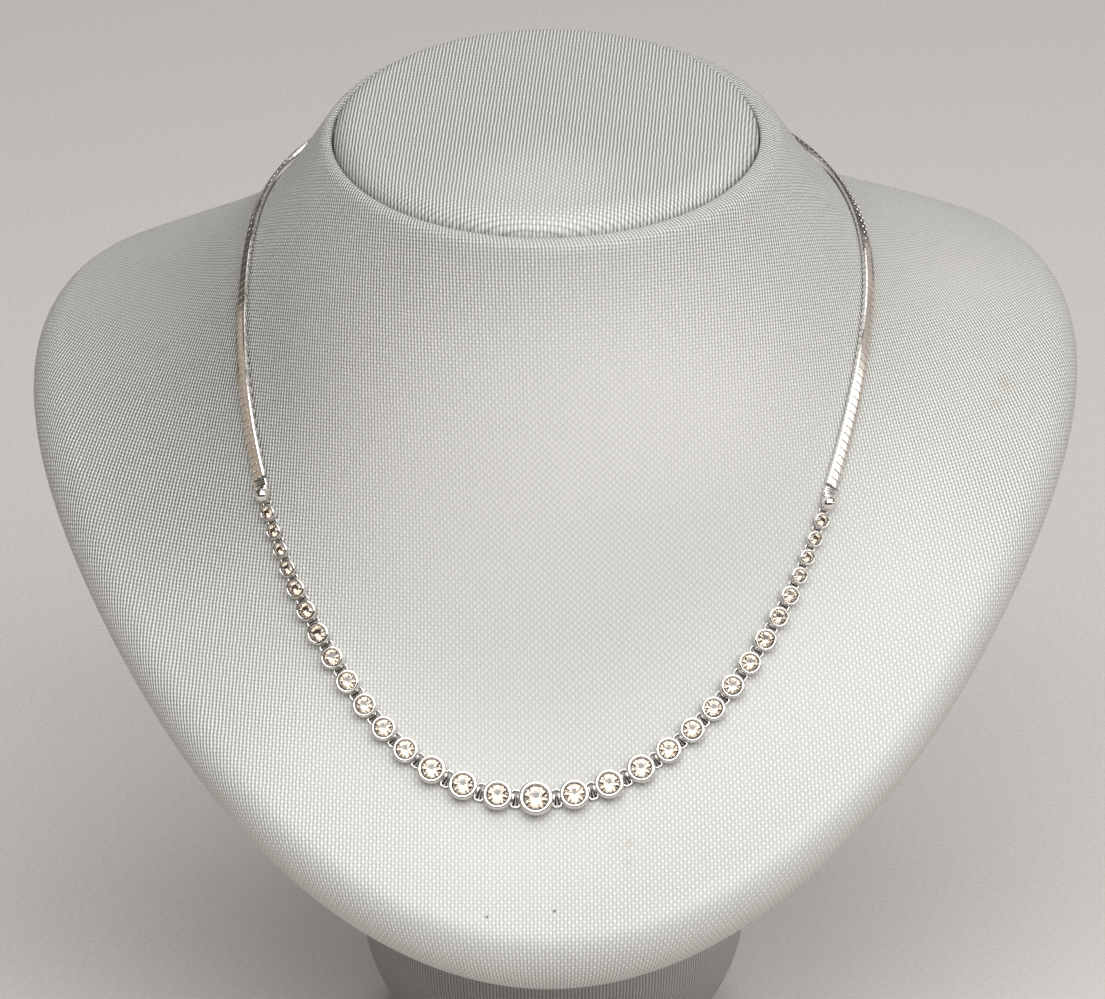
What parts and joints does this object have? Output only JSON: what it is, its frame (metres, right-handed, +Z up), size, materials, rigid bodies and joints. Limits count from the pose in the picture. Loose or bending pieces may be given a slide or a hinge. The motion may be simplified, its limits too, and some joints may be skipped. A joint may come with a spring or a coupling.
{
  "type": "diamond necklace on a neck bust",
  "caption": "Graduated necklace of round bezel-set brilliants on flat chain bands, lying on a cloth-covered neck bust with a padded cap and an oval pedestal.",
  "frame": {"origin": "middle of the pedestal's flat underside", "axes": "+Z up, +X to the right of the picture, the chest faces -Y"},
  "size_m": [0.2112, 0.1647, 0.2061],
  "materials": {
    "bust_cloth": "silvery leatherette with a fine woven grain",
    "cap_cloth": "the same leatherette over padding",
    "pedestal_cloth": "the same leatherette",
    "white_gold": "polished white gold",
    "chain_gold": "polished flat herringbone chain in white gold",
    "stone": "faceted round brilliant with a light champagne tint"
  },
  "bodies": {
    "root": {"bust_form": "bust_cloth", "neck_cap": "cap_cloth", "pedestal": "pedestal_cloth", "setting_centre": "white_gold", "stone_centre": "stone", "setting_left_1": "white_gold", "setting_left_2": "white_gold", "setting_left_3": "white_gold", "setting_left_4": "white_gold", "setting_left_5": "white_gold", "setting_left_6": "white_gold", "setting_left_7": "white_gold", "setting_left_8": "white_gold", "setting_left_9": "white_gold", "setting_left_10": "white_gold", "setting_left_11": "white_gold", "setting_left_12": "white_gold", "setting_left_13": "white_gold", "setting_left_14": "white_gold", "setting_left_15": "white_gold", "setting_right_1": "white_gold", "setting_right_2": "white_gold", "setting_right_3": "white_gold", "setting_right_4": "white_gold", "setting_right_5": "white_gold", "setting_right_6": "white_gold", "setting_right_7": "white_gold", "setting_right_8": "white_gold", "setting_right_9": "white_gold", "setting_right_10": "white_gold", "setting_right_11": "white_gold", "setting_right_12": "white_gold", "setting_right_13": "white_gold", "setting_right_14": "white_gold", "setting_right_15": "white_gold", "stones_left": "stone", "stones_right": "stone", "links_left": "white_gold", "links_right": "white_gold", "end_ball_left": "white_gold", "end_ball_right": "white_gold", "chain_left": "chain_gold", "chain_right": "chain_gold", "clasp": "white_gold"}
  },
  "joints": []
}
